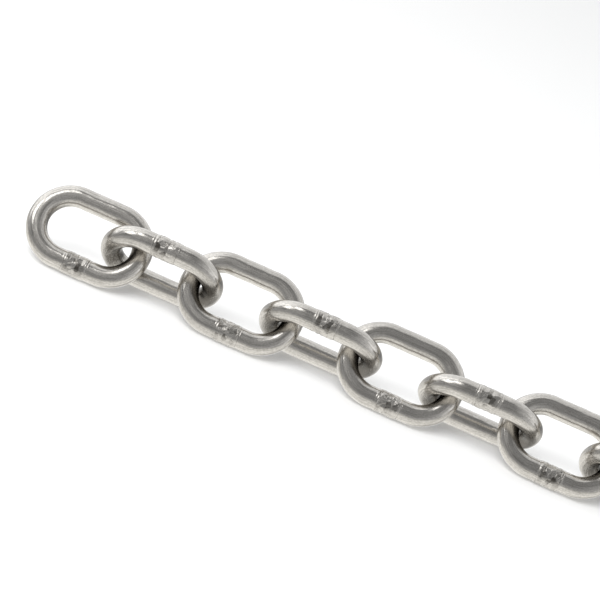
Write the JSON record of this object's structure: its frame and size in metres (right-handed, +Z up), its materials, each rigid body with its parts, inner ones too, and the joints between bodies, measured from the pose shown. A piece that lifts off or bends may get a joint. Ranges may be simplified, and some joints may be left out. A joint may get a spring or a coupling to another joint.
{
  "type": "welded short-link steel chain",
  "caption": "Straight length of bright stainless short-link chain: butt-welded oval links threaded through one another, with a free eye at each end for a shackle or hook.",
  "frame": {"origin": "on the floor under the middle of the chain's box", "axes": "+X along the chain away from the loose end link, -Y the side the picture shows, +Z up from the floor"},
  "size_m": [0.298, 0.019, 0.0215],
  "materials": {
    "stainless_steel": "bright drawn and tumbled stainless steel with a faint grain, greyer and scarred round each weld"
  },
  "bodies": {
    "link_01_body": {"link_01": "stainless_steel"},
    "link_02_body": {"link_02": "stainless_steel"},
    "link_03_body": {"link_03": "stainless_steel"},
    "link_04_body": {"link_04": "stainless_steel"},
    "link_05_body": {"link_05": "stainless_steel"},
    "link_06_body": {"link_06": "stainless_steel"},
    "link_07_body": {"link_07": "stainless_steel"},
    "link_08_body": {"link_08": "stainless_steel"},
    "link_09_body": {"link_09": "stainless_steel"},
    "link_10_body": {"link_10": "stainless_steel"},
    "link_11_body": {"link_11": "stainless_steel"},
    "link_12_body": {"link_12": "stainless_steel"}
  },
  "joints": [
    {"name": "swing_01_02", "type": "hinge", "parent": "link_01_body", "child": "link_02_body", "pos_m": [-0.11565, 0.0001, 0.01044], "axis": [0, 0.6293, 0.7771], "range_deg": [-100, 100]},
    {"name": "swing_02_03", "type": "hinge", "parent": "link_02_body", "child": "link_03_body", "pos_m": [-0.09385, 0.0001, 0.01065], "axis": [0, -0.5736, 0.8192], "range_deg": [-100, 100]},
    {"name": "swing_03_04", "type": "hinge", "parent": "link_03_body", "child": "link_04_body", "pos_m": [-0.06985, 0.0001, 0.01055], "axis": [0, -0.6157, -0.788], "range_deg": [-100, 100]},
    {"name": "swing_04_05", "type": "hinge", "parent": "link_04_body", "child": "link_05_body", "pos_m": [-0.04585, 0.0001, 0.01012], "axis": [0, 0.6428, -0.766], "range_deg": [-100, 100]},
    {"name": "swing_05_06", "type": "hinge", "parent": "link_05_body", "child": "link_06_body", "pos_m": [-0.02185, 0.0001, 0.01055], "axis": [0, 0.6157, 0.788], "range_deg": [-100, 100]},
    {"name": "swing_06_07", "type": "hinge", "parent": "link_06_body", "child": "link_07_body", "pos_m": [0.00215, 0.0001, 0.00983], "axis": [0, -0.682, 0.7314], "range_deg": [-100, 100]},
    {"name": "swing_07_08", "type": "hinge", "parent": "link_07_body", "child": "link_08_body", "pos_m": [0.02615, 0.0001, 0.01032], "axis": [0, -0.6428, -0.766], "range_deg": [-100, 100]},
    {"name": "swing_08_09", "type": "hinge", "parent": "link_08_body", "child": "link_09_body", "pos_m": [0.05015, 0.0001, 0.01035], "axis": [0, 0.6157, -0.788], "range_deg": [-100, 100]},
    {"name": "swing_09_10", "type": "hinge", "parent": "link_09_body", "child": "link_10_body", "pos_m": [0.07415, 0.0001, 0.01023], "axis": [0, 0.6561, 0.7547], "range_deg": [-100, 100]},
    {"name": "swing_10_11", "type": "hinge", "parent": "link_10_body", "child": "link_11_body", "pos_m": [0.09815, 0.0001, 0.01045], "axis": [0, -0.6018, 0.7986], "range_deg": [-100, 100]},
    {"name": "swing_11_12", "type": "hinge", "parent": "link_11_body", "child": "link_12_body", "pos_m": [0.12215, 0.0001, 0.01044], "axis": [0, -0.6293, -0.7771], "range_deg": [-100, 100]}
  ]
}
